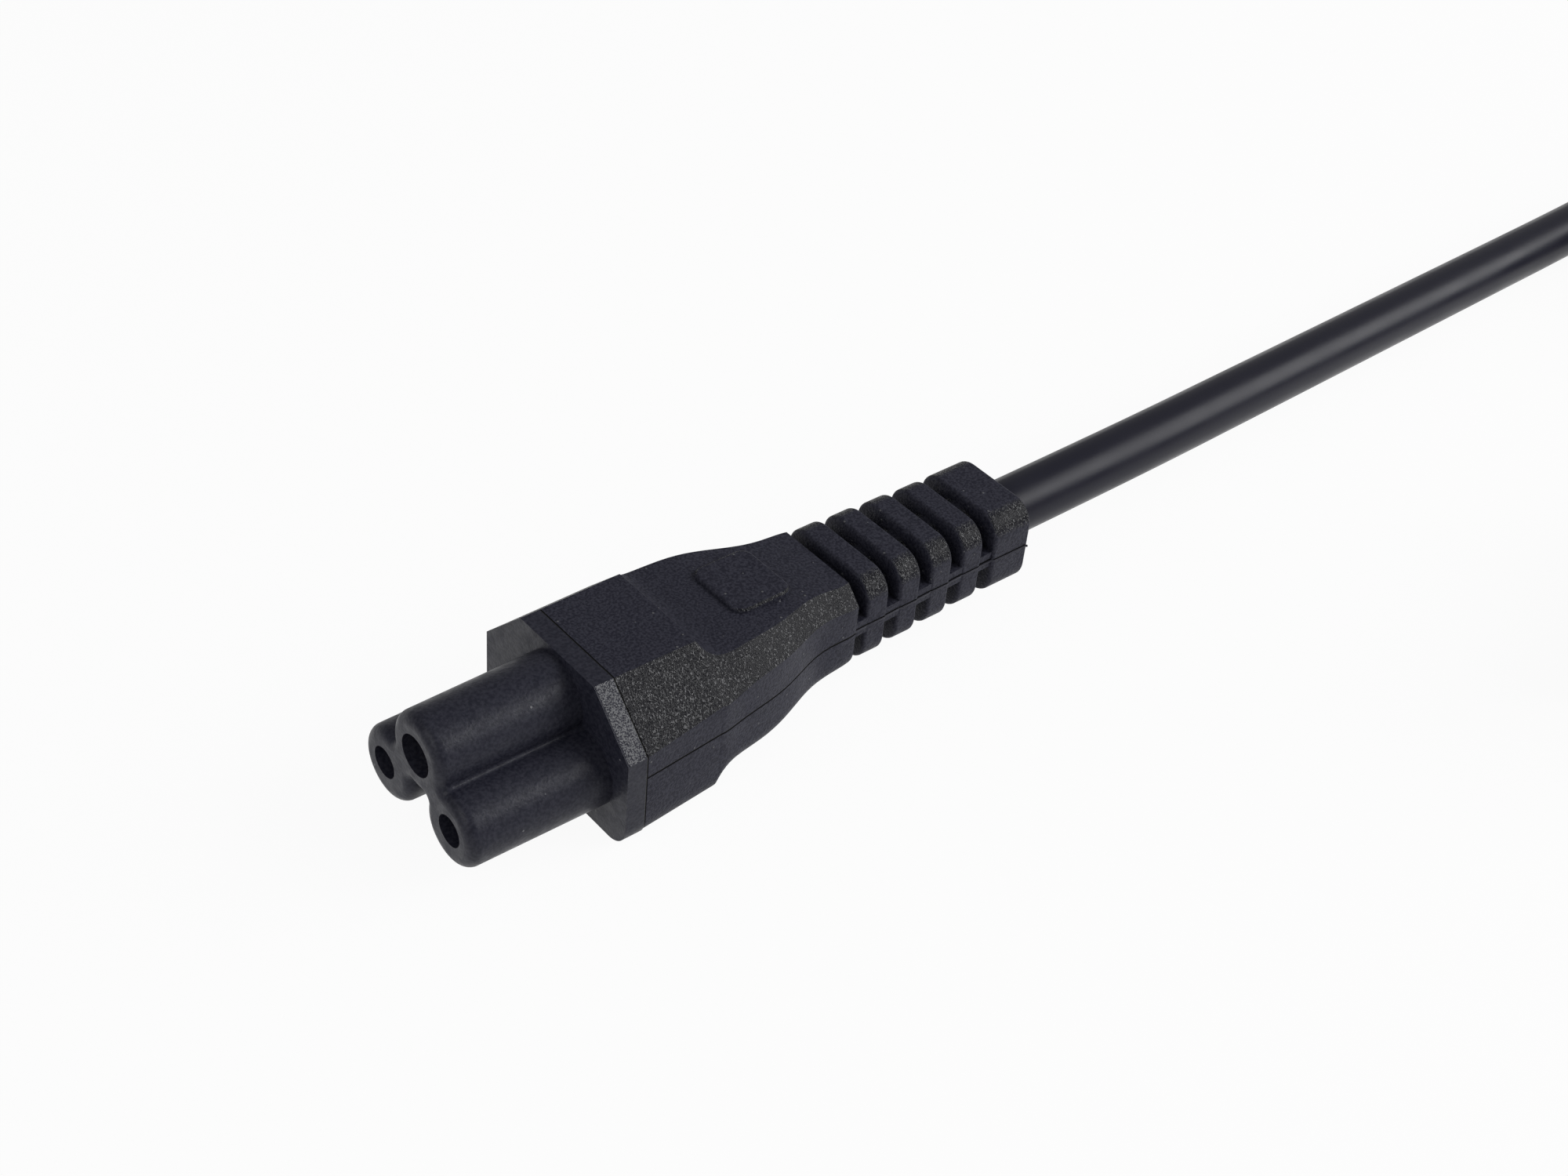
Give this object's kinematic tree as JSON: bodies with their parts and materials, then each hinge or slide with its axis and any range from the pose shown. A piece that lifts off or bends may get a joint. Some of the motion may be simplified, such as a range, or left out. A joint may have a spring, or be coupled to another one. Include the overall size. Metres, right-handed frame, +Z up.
{
  "type": "cloverleaf power cord",
  "caption": "Moulded cloverleaf appliance connector with a grained grip and a ribbed strain relief, on a round flexible cord that ends in a tied coil and a moulded mains plug.",
  "frame": {"origin": "under the middle of the connector, on the surface that it lies on", "axes": "+X from the connector's nose to its cord, +Y to the left when looking along +X, +Z up"},
  "size_m": [0.2431, 0.0784, 0.023],
  "materials": {
    "insert": "satin moulding",
    "overmould": "soft moulding, grained on the sloped sides",
    "jacket": "smooth satin",
    "tie": "matt",
    "bridge": "satin moulding",
    "plug_body": "soft moulding",
    "pins": "drawn",
    "brass": "rolled",
    "copper": "bare strands",
    "line_insulation": "smooth",
    "neutral_insulation": "smooth",
    "earth_insulation": "smooth"
  },
  "bodies": {
    "root": {"coil_tie": "tie", "connector_insert": "insert", "connector_overmould": "overmould", "cord_coil": "jacket", "cord_run": "jacket", "cord_tail": "jacket", "earth_conductor": "copper", "earth_contact": "brass", "earth_core": "earth_insulation", "line_conductor": "copper", "line_contact": "brass", "line_core": "line_insulation", "neutral_conductor": "copper", "neutral_contact": "brass", "neutral_core": "neutral_insulation", "plug_bridge": "bridge", "plug_earth_conductor": "copper", "plug_earth_core": "earth_insulation", "plug_earth_pin": "pins", "plug_line_blade": "pins", "plug_line_conductor": "copper", "plug_line_core": "line_insulation", "plug_neutral_blade": "pins", "plug_neutral_conductor": "copper", "plug_neutral_core": "neutral_insulation", "plug_overmould": "plug_body"}
  },
  "joints": []
}
